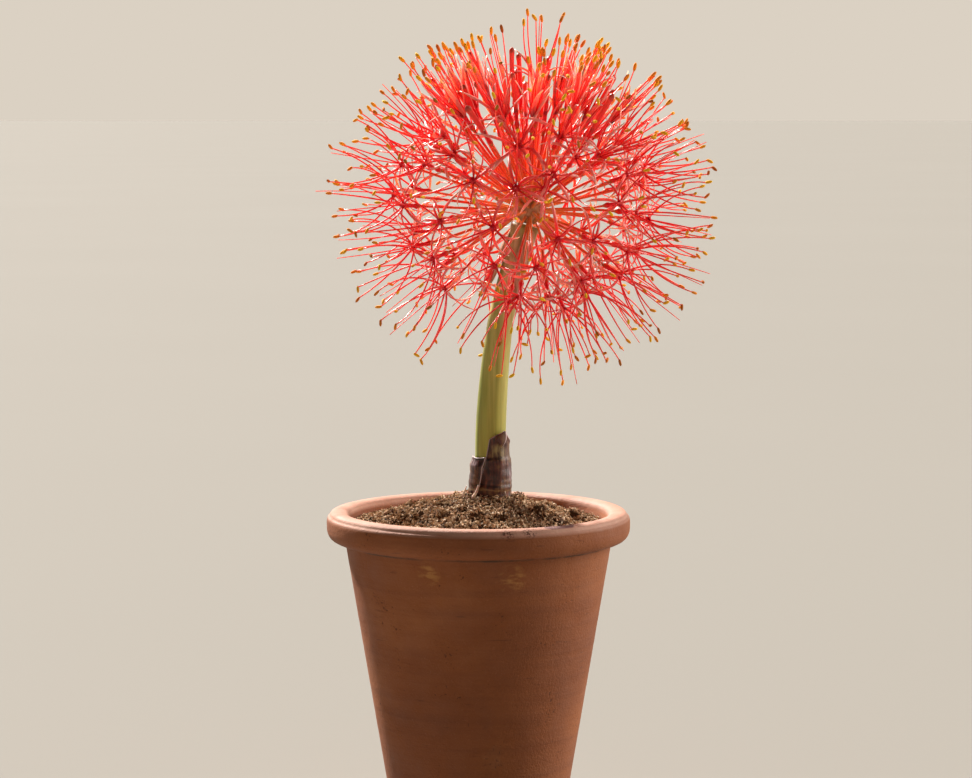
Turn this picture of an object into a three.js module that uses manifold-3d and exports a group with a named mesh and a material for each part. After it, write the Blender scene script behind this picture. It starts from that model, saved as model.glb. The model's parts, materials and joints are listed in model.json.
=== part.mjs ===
// A terracotta flowerpot holding one blood lily in flower: a bulb in a tapered plug of potting
// soil, one stalk with brown sheaths at its foot, and a globe of florets on its top.
// Millimetres, +Z up. The origin is the centre of the pot's flat base, and the front faces -Y.
import * as THREE from 'three';
import { mergeVertices } from 'three/addons/utils/BufferGeometryUtils.js';
import Module from 'manifold-3d';

const wasm = await Module();
wasm.setup();

// ---------------------------------------------------------------- driving dimensions

const GAP = 0.35;                   // left between pieces that touch

const POT_HEIGHT = 170;
const RIM_RADIUS = 80;
const BASE_RADIUS = 44.5;
const BODY_TAPER = 0.168;           // outward growth of the wall's radius per mm of height
const WALL = 7;
const FLOOR = 9;
const RIM_UNDERSIDE = 154;          // height of the rolled rim's lower face
const MOUTH_RADIUS = 68.2;
const MOUTH_ROUND = 3.5;            // the bore flares up to this far below the rim's top
const FLARE_HEIGHT = 150;           // and starts to flare here
const DRAIN_RADIUS = 6;
const DRAIN_CIRCLE = 21;            // the drain holes' centres lie on this radius
const DRAIN_COUNT = 3;
const CROCK_THICKNESS = 5;

const SOIL_BOTTOM = 19;
const SOIL_EDGE = 164;              // the soil's height against the pot's wall
const SOIL_CROWN = 179.5;           // and around the plant
const WALL_PLAY = 0.6;              // radial play between the soil plug and the pot

const PLANT_X = 6.3;                // the plant stands a little to the right of the pot's axis
const NECK_HEIGHT = 176;            // where the stalk bends on the bulb
const BULB_BOTTOM = 92;
const BULB_RADIUS = 28;
const BULB_NECK_RADIUS = 10.5;
const WELL_RADIUS = 14;             // clear space in the soil for the swaying foot
const ROOT_COUNT = 6;
const ROOT_RADIUS = 2.6;

const SCAPE_FOOT_RADIUS = 7.7;
const SCAPE_TOP_RADIUS = 6;
const HUB = new THREE.Vector3(27, 0, 328);   // the point that all the flower stalks leave from
const HUB_RADIUS = 8;

const FLORET_PLACES = 37;
const CROWN_PLACES = 9;             // at the crown, closed buds and narrow new florets alternate
const LOWEST_FLORET_DEG = 150;      // from straight up
const SCAPE_CLEARANCE_DEG = 45;     // no floret stands closer than this to the stalk's line
const PEDICEL_RADIUS = 0.95;
const OVARY_RADIUS = 1.7;
const OVARY_AT = 50;                // distances along a floret, from the hub
const THROAT_AT = 62;
const BUD_END = 86;
const GLOBE_RADIUS = 101.5;         // the stamens' tips
const STAMEN_COUNT = 6;
const STAMEN_SPREAD = 20;           // how far a stamen's tip stands off the floret's axis
const CROWN_SPREAD = 8;             // and in a newly opened floret
const STAMEN_RADIUS = 0.65;

const UP = new THREE.Vector3(0, 0, 1);
const radians = THREE.MathUtils.degToRad;

// ---------------------------------------------------------------- geometry helpers

// Six times the volume that the triangles enclose, negative where they face inwards.
function signedVolume(positions, index) {
  const [a, b, c] = [new THREE.Vector3(), new THREE.Vector3(), new THREE.Vector3()];
  let volume = 0;
  for (let i = 0; i < index.length; i += 3) {
    a.fromBufferAttribute(positions, index[i]);
    b.fromBufferAttribute(positions, index[i + 1]);
    c.fromBufferAttribute(positions, index[i + 2]);
    volume += a.dot(b.cross(c));
  }
  return volume;
}

// Keeps positions only, with shared vertices merged, slivers of no area dropped, and every
// face pointing out whichever way round the surface was drawn.
function closed(geometry) {
  const bare = geometry.clone();
  bare.deleteAttribute('normal');
  bare.deleteAttribute('uv');
  const merged = mergeVertices(bare, 1e-4);
  const kept = [];
  const index = merged.index.array;
  for (let i = 0; i < index.length; i += 3) {
    const [a, b, c] = [index[i], index[i + 1], index[i + 2]];
    if (a !== b && b !== c && c !== a) kept.push(a, b, c);
  }
  if (signedVolume(merged.attributes.position, kept) < 0) kept.reverse();
  merged.setIndex(kept);
  return merged;
}

function toSolid(geometry) {
  const mesh = closed(geometry);
  return new wasm.Manifold(new wasm.Mesh({
    numProp: 3,
    vertProperties: new Float32Array(mesh.attributes.position.array),
    triVerts: new Uint32Array(mesh.index.array),
  }));
}

function fromSolid(solid) {
  const { vertProperties, triVerts } = solid.getMesh();
  const geometry = new THREE.BufferGeometry();
  geometry.setAttribute('position', new THREE.BufferAttribute(vertProperties, 3));
  geometry.setIndex(new THREE.BufferAttribute(triVerts, 1));
  return geometry;
}

// Turns an outline of (radius, height) points about the Z axis through (x, 0).
function turned(points, segments, x = 0) {
  const geometry = new THREE.LatheGeometry(points, segments);
  geometry.rotateX(Math.PI / 2);
  geometry.translate(x, 0, 0);
  return geometry;
}

// Skins a list of rings of points and closes both ends.
function loft(rings) {
  const sides = rings[0].length;
  const positions = rings.flat().flatMap((p) => [p.x, p.y, p.z]);
  const index = [];
  for (let i = 0; i < rings.length - 1; i += 1) {
    for (let j = 0; j < sides; j += 1) {
      const a = i * sides + j;
      const b = i * sides + ((j + 1) % sides);
      index.push(a, b, b + sides, a, b + sides, a + sides);
    }
  }
  const last = (rings.length - 1) * sides;
  for (let j = 1; j < sides - 1; j += 1) {
    index.push(0, j + 1, j);
    index.push(last, last + j, last + j + 1);
  }
  const geometry = new THREE.BufferGeometry();
  geometry.setAttribute('position', new THREE.Float32BufferAttribute(positions, 3));
  geometry.setIndex(index);
  return geometry;
}

// The rings of a round rod along a curve, whose radius may change on the way.
function rodRings(curve, radiusAt, steps, sides) {
  const { normals, binormals } = curve.computeFrenetFrames(steps, false);
  const rings = [];
  for (let i = 0; i <= steps; i += 1) {
    const centre = curve.getPointAt(i / steps);
    const radius = radiusAt(i / steps);
    const ring = [];
    for (let j = 0; j < sides; j += 1) {
      const angle = (2 * Math.PI * j) / sides;
      ring.push(centre.clone()
        .addScaledVector(normals[i], radius * Math.cos(angle))
        .addScaledVector(binormals[i], radius * Math.sin(angle)));
    }
    rings.push(ring);
  }
  return rings;
}

// A curved sheet with a thickness: surface(u, v, side) gives a point on its back face (side 0)
// or its front face (side 1), with u across and v along, both from 0 to 1.
function slab(across, along, surface) {
  const rings = [];
  for (let i = 0; i <= along; i += 1) {
    const ring = [];
    for (let j = 0; j <= across; j += 1) ring.push(surface(j / across, i / along, 1));
    for (let j = across; j >= 0; j -= 1) ring.push(surface(j / across, i / along, 0));
    rings.push(ring);
  }
  return rings;
}

// A slab's end is a strip rather than a fan, because a fan folds over a curved one.
function slabGeometry(across, along, surface) {
  const rings = slab(across, along, surface);
  const geometry = loft(rings);
  const sides = rings[0].length;
  const walls = Array.from(geometry.index.array).slice(0, along * sides * 6);
  const last = along * sides;
  for (let j = 0; j < across; j += 1) {
    const [a, b] = [j, j + 1];
    const [c, d] = [sides - 2 - j, sides - 1 - j];
    walls.push(a, c, b, a, d, c);
    walls.push(last + a, last + b, last + c, last + a, last + c, last + d);
  }
  geometry.setIndex(walls);
  return geometry;
}

// ---------------------------------------------------------------- materials

const materials = {
  terracotta: new THREE.MeshStandardMaterial({ color: 0xa65f3f, roughness: 0.9, metalness: 0 }),
  crock: new THREE.MeshStandardMaterial({ color: 0x94553a, roughness: 0.95, metalness: 0 }),
  soil: new THREE.MeshStandardMaterial({ color: 0x5f4734, roughness: 1, metalness: 0 }),
  bulb: new THREE.MeshStandardMaterial({ color: 0xc9ad86, roughness: 0.7, metalness: 0 }),
  root: new THREE.MeshStandardMaterial({ color: 0xd9cdb4, roughness: 0.7, metalness: 0 }),
  sheath: new THREE.MeshStandardMaterial({ color: 0x4a2a20, roughness: 0.6, metalness: 0 }),
  scape: new THREE.MeshStandardMaterial({ color: 0x8d8b3a, roughness: 0.45, metalness: 0 }),
  bract: new THREE.MeshStandardMaterial({ color: 0xc79f7f, roughness: 0.7, metalness: 0 }),
  floret: new THREE.MeshStandardMaterial({ color: 0xe0453a, roughness: 0.5, metalness: 0 }),
};

const plant = new THREE.Group();

function add(name, geometry, material) {
  const mesh = new THREE.Mesh(closed(geometry), material);
  mesh.name = name;
  plant.add(mesh);
  return mesh;
}

// ---------------------------------------------------------------- pot and crocks

const POT_SEGMENTS = 42;
const CURVE_STEPS = 3;

function bodyRadius(height) {
  return BASE_RADIUS + BODY_TAPER * height;
}

// The bore follows the outside, then flares to the mouth.
function boreRadius(height) {
  const flare = (height - FLARE_HEIGHT) / (POT_HEIGHT - MOUTH_ROUND - FLARE_HEIGHT);
  if (flare <= 0) return bodyRadius(height) - WALL;
  return THREE.MathUtils.lerp(bodyRadius(FLARE_HEIGHT) - WALL, MOUTH_RADIUS, flare);
}

// The wall's section: flat base, tapered side, rolled rim with a lip ring on it, tapered bore.
function potOutline() {
  const footRound = 1.6;
  const neck = RIM_UNDERSIDE - 2.3;
  const floorRound = 4;
  const outline = new THREE.Path();
  outline.moveTo(0, 0);
  outline.lineTo(BASE_RADIUS - footRound, 0);
  outline.quadraticCurveTo(BASE_RADIUS, 0, bodyRadius(footRound), footRound);
  outline.lineTo(bodyRadius(neck), neck);
  outline.quadraticCurveTo(bodyRadius(neck), RIM_UNDERSIDE - 0.5, bodyRadius(neck) + 3, RIM_UNDERSIDE);
  outline.quadraticCurveTo(RIM_RADIUS, RIM_UNDERSIDE + 0.6, RIM_RADIUS, RIM_UNDERSIDE + 7.5);
  outline.quadraticCurveTo(RIM_RADIUS, POT_HEIGHT - 3.4, RIM_RADIUS - 0.9, POT_HEIGHT - 2.9);
  outline.lineTo(RIM_RADIUS - 1.6, POT_HEIGHT - 2.4);
  outline.quadraticCurveTo(RIM_RADIUS - 1.9, POT_HEIGHT, RIM_RADIUS - 6, POT_HEIGHT);
  outline.lineTo(MOUTH_RADIUS + 4.4, POT_HEIGHT);
  outline.quadraticCurveTo(MOUTH_RADIUS + 0.4, POT_HEIGHT, MOUTH_RADIUS, POT_HEIGHT - MOUTH_ROUND);
  outline.lineTo(boreRadius(FLARE_HEIGHT), FLARE_HEIGHT);
  outline.lineTo(boreRadius(FLOOR + floorRound), FLOOR + floorRound);
  outline.quadraticCurveTo(boreRadius(FLOOR), FLOOR, boreRadius(FLOOR) - floorRound, FLOOR);
  outline.lineTo(0, FLOOR);
  return outline.getPoints(CURVE_STEPS);
}

function drainAngle(i) {
  return radians(90) + (2 * Math.PI * i) / DRAIN_COUNT;
}

function pot() {
  let clay = toSolid(turned(potOutline(), POT_SEGMENTS));
  for (let i = 0; i < DRAIN_COUNT; i += 1) {
    const drain = new THREE.CylinderGeometry(DRAIN_RADIUS, DRAIN_RADIUS, 3 * FLOOR, 12);
    drain.rotateX(Math.PI / 2);
    const angle = drainAngle(i);
    drain.translate(DRAIN_CIRCLE * Math.cos(angle), DRAIN_CIRCLE * Math.sin(angle), 0);
    clay = clay.subtract(toSolid(drain));
  }
  return fromSolid(clay);
}

// A shard of an old pot, arched over a drain hole so that water still gets out.
function crock(i) {
  const [near, far] = [9.5, 33];
  const [nearHalf, farHalf] = [4.5, 13];
  const arch = 3;
  const surface = (u, v, side) => {
    const along = THREE.MathUtils.lerp(near, far, v);
    const half = THREE.MathUtils.lerp(nearHalf, farHalf, v) - 1.5 * Math.sin(Math.PI * v * 2);
    const y = (2 * u - 1) * half;
    const rise = arch * (1 - (y / farHalf) ** 2);
    return new THREE.Vector3(along, y, FLOOR + GAP + rise + side * CROCK_THICKNESS);
  };
  const geometry = slabGeometry(6, 4, surface);
  geometry.rotateZ(drainAngle(i));
  return geometry;
}

add('terracotta_pot', pot(), materials.terracotta);
for (let i = 0; i < DRAIN_COUNT; i += 1) {
  add(`drainage_crock_${i + 1}`, crock(i), materials.crock);
}

// ---------------------------------------------------------------- bulb, roots and soil

const SCAPE_FOOT = NECK_HEIGHT - SCAPE_FOOT_RADIUS;   // lowest point of the stalk's round foot
const BULB_TOP = SCAPE_FOOT - GAP;

// The bulb's section, grown all round by `grow`: a basal plate, a round body and a long neck.
function bulbOutline(grow) {
  const plate = 11;
  const waist = BULB_BOTTOM + 30;
  const shoulder = BULB_TOP - 22;
  const outline = new THREE.Path();
  outline.moveTo(0, BULB_BOTTOM - grow);
  outline.lineTo(plate + grow, BULB_BOTTOM - grow);
  outline.quadraticCurveTo(BULB_RADIUS + grow, BULB_BOTTOM + 4, BULB_RADIUS + grow, waist);
  outline.quadraticCurveTo(BULB_RADIUS + grow, shoulder - 8, BULB_NECK_RADIUS + 4 + grow, shoulder);
  outline.quadraticCurveTo(
    BULB_NECK_RADIUS + 0.5 + grow,
    shoulder + 4,
    BULB_NECK_RADIUS + grow,
    shoulder + 12,
  );
  outline.lineTo(BULB_NECK_RADIUS + grow, BULB_TOP);
  outline.lineTo(0, BULB_TOP);
  return outline.getPoints(CURVE_STEPS);
}

function bulb(grow) {
  return turned(bulbOutline(grow), 20, PLANT_X);
}

// A fleshy root from the basal plate, outwards and down.
function rootRings(i, grow) {
  const angle = radians(30) + (2 * Math.PI * i) / ROOT_COUNT;
  const reach = i % 2 === 0 ? 27 : 21;
  const depth = i % 2 === 0 ? 48 : 36;
  const out = new THREE.Vector3(Math.cos(angle), Math.sin(angle), 0);
  const top = BULB_BOTTOM - GAP - ROOT_RADIUS * 0.2;
  const at = (radius, height) => new THREE.Vector3(PLANT_X - 2, 0, height).addScaledVector(out, radius);
  const points = [at(7.5, top), at(12, top - 12), at(reach, depth + 14), at(reach + 2, depth)];
  const curve = new THREE.CatmullRomCurve3(points);
  const radiusAt = (t) => THREE.MathUtils.lerp(ROOT_RADIUS, ROOT_RADIUS * 0.5, t) + grow;
  return rodRings(curve, radiusAt, 7, 6);
}

// The hole that a root leaves in the soil, which opens into the bulb's hole above it.
function rootHole(i) {
  const rings = rootRings(i, GAP);
  const moved = (ring, rise) => ring.map((p) => new THREE.Vector3(p.x, p.y, p.z + rise));
  return loft([moved(rings[0], 3), ...rings, moved(rings[rings.length - 1], -2 * GAP)]);
}

// The plug's section: it fills the pot from the crocks up, and heaps up around the plant.
function soilOutline() {
  const edge = boreRadius(SOIL_EDGE) - WALL_PLAY;
  const foot = boreRadius(SOIL_BOTTOM) - WALL_PLAY;
  const outline = new THREE.Path();
  outline.moveTo(0, SOIL_BOTTOM);
  outline.lineTo(foot - 3, SOIL_BOTTOM);
  outline.lineTo(boreRadius(SOIL_BOTTOM + 3) - WALL_PLAY, SOIL_BOTTOM + 3);
  outline.lineTo(boreRadius(FLARE_HEIGHT) - WALL_PLAY, FLARE_HEIGHT);
  outline.lineTo(edge, SOIL_EDGE);
  outline.bezierCurveTo(edge - 15, SOIL_EDGE + 2, edge - 31, SOIL_CROWN, 10, SOIL_CROWN);
  outline.lineTo(0, SOIL_CROWN);
  return outline.getPoints(5);
}

function well() {
  const points = [
    new THREE.Vector2(0, BULB_TOP - 3),
    new THREE.Vector2(BULB_NECK_RADIUS + GAP, BULB_TOP - 3),
    new THREE.Vector2(WELL_RADIUS, BULB_TOP + 2),
    new THREE.Vector2(WELL_RADIUS, SOIL_CROWN + 10),
    new THREE.Vector2(0, SOIL_CROWN + 10),
  ];
  return turned(points, 20, PLANT_X);
}

function soil() {
  let plug = toSolid(turned(soilOutline(), 32));
  plug = plug.subtract(toSolid(well()));
  plug = plug.subtract(toSolid(bulb(GAP)));
  for (let i = 0; i < ROOT_COUNT; i += 1) {
    plug = plug.subtract(toSolid(rootHole(i)));
  }
  return fromSolid(plug);
}

add('potting_soil', soil(), materials.soil);
add('bulb', bulb(0), materials.bulb);
for (let i = 0; i < ROOT_COUNT; i += 1) {
  add(`root_${i + 1}`, loft(rootRings(i, 0)), materials.root);
}

// ---------------------------------------------------------------- scape, sheaths and hub

// The stalk rises straight, then leans further and further to the right.
const lean = new THREE.Vector3(0.3, 0, 1).normalize();
const scapeTop = HUB.clone().addScaledVector(lean, -(HUB_RADIUS + GAP));
const scapeLine = new THREE.CatmullRomCurve3([
  new THREE.Vector3(PLANT_X, 0, NECK_HEIGHT),
  new THREE.Vector3(6.6, 0, 215),
  new THREE.Vector3(9.4, 0, 252),
  new THREE.Vector3(13.6, 0, 279),
  scapeTop,
]);

function scapeRadius(t) {
  return THREE.MathUtils.lerp(SCAPE_FOOT_RADIUS, SCAPE_TOP_RADIUS, THREE.MathUtils.smoothstep(t, 0.2, 0.8));
}

// Its foot is a half ball about the point that it sways on.
function scape() {
  const rings = rodRings(scapeLine, scapeRadius, 10, 12);
  const foot = [];
  for (const degrees of [80, 55, 30]) {
    const drop = new THREE.Vector3(0, 0, -SCAPE_FOOT_RADIUS * Math.sin(radians(degrees)));
    const centre = new THREE.Vector3(PLANT_X, 0, NECK_HEIGHT);
    foot.push(rings[0].map((p) => p.clone().sub(centre)
      .multiplyScalar(Math.cos(radians(degrees))).add(centre).add(drop)));
  }
  return loft([...foot, ...rings]);
}

// A papery sheath round the stalk's foot, from one free edge to the other. Angles are from +X,
// anticlockwise, so the front is at -90. Its upper edge rises to a point at `peak`.
function sheath({ fromTop, fromFoot, to, bottom, side, tip, peak, inner, flare, thickness }) {
  const surface = (u, v, face) => {
    const from = THREE.MathUtils.lerp(fromFoot, fromTop, v);
    const angle = radians(THREE.MathUtils.lerp(from, to, u));
    const top = side + (tip - side) * Math.max(0, 1 - Math.abs(u - peak) / 0.45);
    const height = THREE.MathUtils.lerp(bottom, top, v);
    const radius = inner + flare * Math.sin(Math.PI * Math.min(1, 1.15 - v) * 0.5) + face * thickness;
    const axis = 0.3 * v;
    return new THREE.Vector3(
      PLANT_X + axis + radius * Math.cos(angle),
      radius * Math.sin(angle),
      height,
    );
  };
  return slabGeometry(12, 5, surface);
}

// A withered bract, turned back under the hub and hanging down beside the stalk.
function bract(degrees, length, width) {
  const out = new THREE.Vector3(Math.cos(radians(degrees)), Math.sin(radians(degrees)), 0);
  const across = new THREE.Vector3(-out.y, out.x, 0);
  const start = HUB.clone().addScaledVector(lean, -(HUB_RADIUS + 2.5));
  const line = new THREE.CatmullRomCurve3([
    start.clone().addScaledVector(out, SCAPE_TOP_RADIUS + 1.2),
    start.clone().addScaledVector(out, SCAPE_TOP_RADIUS + 3).addScaledVector(lean, -0.3 * length),
    start.clone().addScaledVector(out, SCAPE_TOP_RADIUS + 3.4).addScaledVector(lean, -0.7 * length),
    start.clone().addScaledVector(out, SCAPE_TOP_RADIUS + 5).addScaledVector(lean, -length),
  ]);
  const surface = (u, v, face) => {
    const half = 0.5 * width * (0.35 + 0.65 * Math.sin(Math.PI * (0.15 + 0.8 * v)));
    const sideways = (2 * u - 1) * half;
    const cup = -0.1 * sideways * sideways + face * 0.8;
    return line.getPointAt(v).addScaledVector(across, sideways).addScaledVector(out, cup);
  };
  return slabGeometry(4, 6, surface);
}

add('scape', scape(), materials.scape);
const sheathFoot = NECK_HEIGHT + 1.6;
add('sheath_tall', sheath({
  fromTop: -110,
  fromFoot: -131,
  to: 60,
  bottom: sheathFoot,
  side: 205,
  tip: 211.5,
  peak: 0.5,
  inner: SCAPE_FOOT_RADIUS + 0.4,
  flare: 1.3,
  thickness: 1.1,
}), materials.sheath);
add('sheath_short', sheath({
  fromTop: -136,
  fromFoot: -136,
  to: -286,
  bottom: sheathFoot,
  side: 192,
  tip: 197.6,
  peak: 0.35,
  inner: SCAPE_FOOT_RADIUS + 0.8,
  flare: 1.6,
  thickness: 1.1,
}), materials.sheath);
add('umbel_hub', new THREE.SphereGeometry(HUB_RADIUS, 12, 8).rotateX(Math.PI / 2)
  .translate(HUB.x, HUB.y, HUB.z), materials.scape);
[[-62, 40, 9], [64, 34, 8], [178, 37, 8]].forEach(([degrees, length, width], i) => {
  add(`spathe_bract_${i + 1}`, bract(degrees, length, width), materials.bract);
});

// ---------------------------------------------------------------- florets

const PEDICEL_START = HUB_RADIUS + GAP;
const STEM_SIDES = 5;
const GOLDEN_ANGLE = Math.PI * (3 - Math.sqrt(5));

// Directions spread evenly over the globe in a golden-angle spiral, from the crown down.
function floretDirection(i) {
  const lowest = Math.cos(radians(LOWEST_FLORET_DEG));
  const rise = 1 - ((i + 0.5) / FLORET_PLACES) * (1 - lowest);
  const level = Math.sqrt(1 - rise * rise);
  const turn = i * GOLDEN_ANGLE;
  return new THREE.Vector3(level * Math.cos(turn), level * Math.sin(turn), rise);
}

// The stalk, ovary and tube that every floret has, along +Z from the hub.
function floretStem(beyond) {
  const points = [
    [0, PEDICEL_START],
    [PEDICEL_RADIUS, PEDICEL_START],
    [PEDICEL_RADIUS, OVARY_AT - 2],
    [OVARY_RADIUS, OVARY_AT],
    [OVARY_RADIUS * 0.65, OVARY_AT + 3],
    ...beyond,
  ];
  return turned(points.map(([radius, height]) => new THREE.Vector2(radius, height)), STEM_SIDES);
}

// An open floret: six stamens bend outwards from its throat.
function openFloret(spread) {
  let solid = toSolid(floretStem([[1.3, THROAT_AT - 1], [1.9, THROAT_AT + 1], [0, THROAT_AT + 1.6]]));
  const rise = Math.sqrt(GLOBE_RADIUS ** 2 - spread ** 2);
  for (let k = 0; k < STAMEN_COUNT; k += 1) {
    const angle = radians(30) + (2 * Math.PI * k) / STAMEN_COUNT;
    const out = new THREE.Vector3(Math.cos(angle), Math.sin(angle), 0);
    const at = (radius, height) => new THREE.Vector3(0, 0, height).addScaledVector(out, radius);
    const curve = new THREE.QuadraticBezierCurve3(
      at(0.7, THROAT_AT - 0.4),
      at(spread * 0.62, THROAT_AT + 0.42 * (rise - THROAT_AT)),
      at(spread, rise),
    );
    solid = solid.add(toSolid(loft(rodRings(curve, () => STAMEN_RADIUS, 2, 3))));
  }
  return fromSolid(solid);
}

// A closed bud: the tube swells into a slender body with a pointed tip.
function closedBud() {
  return floretStem([[1.2, THROAT_AT - 2], [2.1, THROAT_AT + 4], [2.2, BUD_END - 7], [0, BUD_END]]);
}

// The pedicels keep clear of the stalk's top, so the spiral's places round it stay empty.
let buds = 0;
let florets = 0;
for (let i = 0; i < FLORET_PLACES; i += 1) {
  const direction = floretDirection(i);
  if (direction.angleTo(lean.clone().negate()) < radians(SCAPE_CLEARANCE_DEG)) continue;
  const isCrown = i < CROWN_PLACES;
  const isBud = isCrown && i % 2 === 1;
  if (isBud) buds += 1;
  else florets += 1;
  const name = isBud ? `bud_${buds}` : `floret_${florets}`;
  const geometry = isBud ? closedBud() : openFloret(isCrown ? CROWN_SPREAD : STAMEN_SPREAD);
  const mesh = add(name, geometry, materials.floret);
  mesh.position.copy(HUB);
  mesh.quaternion.setFromUnitVectors(UP, direction);
}

export default plant;
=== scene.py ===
# The looks of a potted blood lily: a terracotta pot, its soil and bulb plant, and the globe of
# florets on the stalk. Metres, +Z up, in the CAD model's own frame; lengths given in millimetres
# are multiplied by MM. The front faces -Y.
import json
import math
from functools import lru_cache

import bmesh
import bpy
import numpy as np
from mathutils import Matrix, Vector, noise


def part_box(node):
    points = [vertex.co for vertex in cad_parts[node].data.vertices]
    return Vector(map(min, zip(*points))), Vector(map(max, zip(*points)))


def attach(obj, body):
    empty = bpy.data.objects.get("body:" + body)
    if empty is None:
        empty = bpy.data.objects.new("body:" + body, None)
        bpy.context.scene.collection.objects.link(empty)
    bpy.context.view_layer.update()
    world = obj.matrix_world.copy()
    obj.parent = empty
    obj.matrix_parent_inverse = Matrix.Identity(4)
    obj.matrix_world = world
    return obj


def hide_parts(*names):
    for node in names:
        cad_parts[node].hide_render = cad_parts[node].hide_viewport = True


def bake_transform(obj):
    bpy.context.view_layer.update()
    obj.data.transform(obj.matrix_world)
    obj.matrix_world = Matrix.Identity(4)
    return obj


MM = 0.001
UP = np.array([0.0, 0.0, 1.0])

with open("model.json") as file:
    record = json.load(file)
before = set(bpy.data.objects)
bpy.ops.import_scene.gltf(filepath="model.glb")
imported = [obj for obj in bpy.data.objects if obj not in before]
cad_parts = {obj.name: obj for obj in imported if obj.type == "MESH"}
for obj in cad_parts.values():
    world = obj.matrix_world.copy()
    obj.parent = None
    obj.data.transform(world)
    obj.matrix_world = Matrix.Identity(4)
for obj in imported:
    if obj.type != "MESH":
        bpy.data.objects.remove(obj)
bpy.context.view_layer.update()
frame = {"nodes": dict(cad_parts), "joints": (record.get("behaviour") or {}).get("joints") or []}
scene = bpy.context.scene


def centre_of(node):
    low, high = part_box(node)
    return np.array((low + high) / 2)


# ---------------------------------------------------------------- places taken from the frame

POT_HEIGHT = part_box("terracotta_pot")[1].z
RIM_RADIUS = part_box("terracotta_pot")[1].y
SOIL_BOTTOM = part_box("potting_soil")[0].z
SOIL_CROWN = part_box("potting_soil")[1].z
HUB = centre_of("umbel_hub")
HUB_RADIUS = HUB[2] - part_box("umbel_hub")[0].z
SWAY = next(joint for joint in frame["joints"] if joint["name"] == "scape_sway")
NECK = np.array(SWAY["pos_m"])
PLANT = np.array([NECK[0], 0.0])
CROCKS = ("drainage_crock_1", "drainage_crock_2", "drainage_crock_3")


# ---------------------------------------------------------------- driving sizes

BODY_TAPER = 0.168          # how much the wall's radius grows for each unit of height
BASE_RADIUS = 44.5 * MM
WALL = 7 * MM
FLOOR = 9 * MM
RIM_UNDERSIDE = 154 * MM
MOUTH_RADIUS = 68.2 * MM
MOUTH_ROUND = 3.5 * MM
FLARE_HEIGHT = 150 * MM     # where the bore starts to widen towards the mouth
DRAIN_RADIUS = 6 * MM
DRAIN_CIRCLE = 21 * MM
# Heights where the pale lip fades in; its paleness is partly lighter clay, partly painted sunlight.
LIP_FADE = (POT_HEIGHT - 4.5 * MM, POT_HEIGHT - 2.5 * MM)

SOIL_EDGE = 164 * MM
WALL_PLAY = 0.6 * MM
CLOD_COUNT = 70
CRUMB_COUNT = 13000
FIBRE_COUNT = 5000
MATTED_ROOT_COUNT = 34

SCAPE_FOOT_RADIUS = 8.0 * MM
SCAPE_TOP_RADIUS = 6.5 * MM
SHEATH_FOOT = SOIL_CROWN - 5 * MM
SKIN = 0.45 * MM            # the sheaths' thickness
BRACT_SKIN = 0.36 * MM
BAND_WAVER = 4 * MM         # how far the lines round the sheaths rise and fall


# ---------------------------------------------------------------- small vector tools


def unit(vector):
    return vector / np.linalg.norm(vector)


def across(axis):
    """Some unit vector square to the axis."""
    other = np.array([1.0, 0.0, 0.0]) if abs(axis[0]) < 0.8 else np.array([0.0, 1.0, 0.0])
    return unit(np.cross(axis, other))


def turned_about(vector, axis, angle):
    """The vector turned about a unit axis."""
    return (
        vector * math.cos(angle)
        + np.cross(axis, vector) * math.sin(angle)
        + axis * np.dot(axis, vector) * (1 - math.cos(angle))
    )


def smooth(low, high, value):
    t = np.clip((value - low) / (high - low), 0, 1)
    return t * t * (3 - 2 * t)


def rough(point, scale, seed=0.0):
    """Smooth noise from -1 to 1 at a point, with features about 1 / scale metres wide."""
    return noise.noise(Vector(point) * scale + Vector((seed, seed * 1.7, -seed)))


def bezier(points, steps):
    """Points along a quadratic or cubic Bezier curve."""
    t = np.linspace(0, 1, steps)[:, None]
    level = [np.asarray(p, float)[None, :] for p in points]
    while len(level) > 1:
        level = [a * (1 - t) + b * t for a, b in zip(level, level[1:])]
    return level[0]


def through(points, steps):
    """Points along a smooth curve through the given ones, evenly spaced."""
    known = np.array([2 * points[0] - points[1], *points, 2 * points[-1] - points[-2]])
    t = np.linspace(0, 1, 12, endpoint=False)[:, None]
    spans = []
    for a, b, c, d in zip(known, known[1:], known[2:], known[3:]):
        spans.append(
            0.5 * (2 * b + (c - a) * t + (2 * a - 5 * b + 4 * c - d) * t**2
                   + (3 * b - a - 3 * c + d) * t**3)
        )
    fine = np.vstack([*spans, points[-1][None, :]])
    walked = np.concatenate([[0], np.cumsum(np.linalg.norm(np.diff(fine, axis=0), axis=1))])
    wanted = np.linspace(0, walked[-1], steps)
    return np.stack([np.interp(wanted, walked, fine[:, k]) for k in range(3)], axis=1)


# ---------------------------------------------------------------- mesh tools


@lru_cache(maxsize=None)
def loft_faces(rings, sides, closed_ends=True):
    """Faces that skin rings of points, with a face over each end."""
    faces = []
    for i in range(rings - 1):
        for j in range(sides):
            a, b = i * sides + j, i * sides + (j + 1) % sides
            faces.append((a, b, b + sides, a + sides))
    if closed_ends:
        last = (rings - 1) * sides
        faces.append(tuple(reversed(range(sides))))
        faces.append(tuple(last + j for j in range(sides)))
    return tuple(faces)


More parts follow.
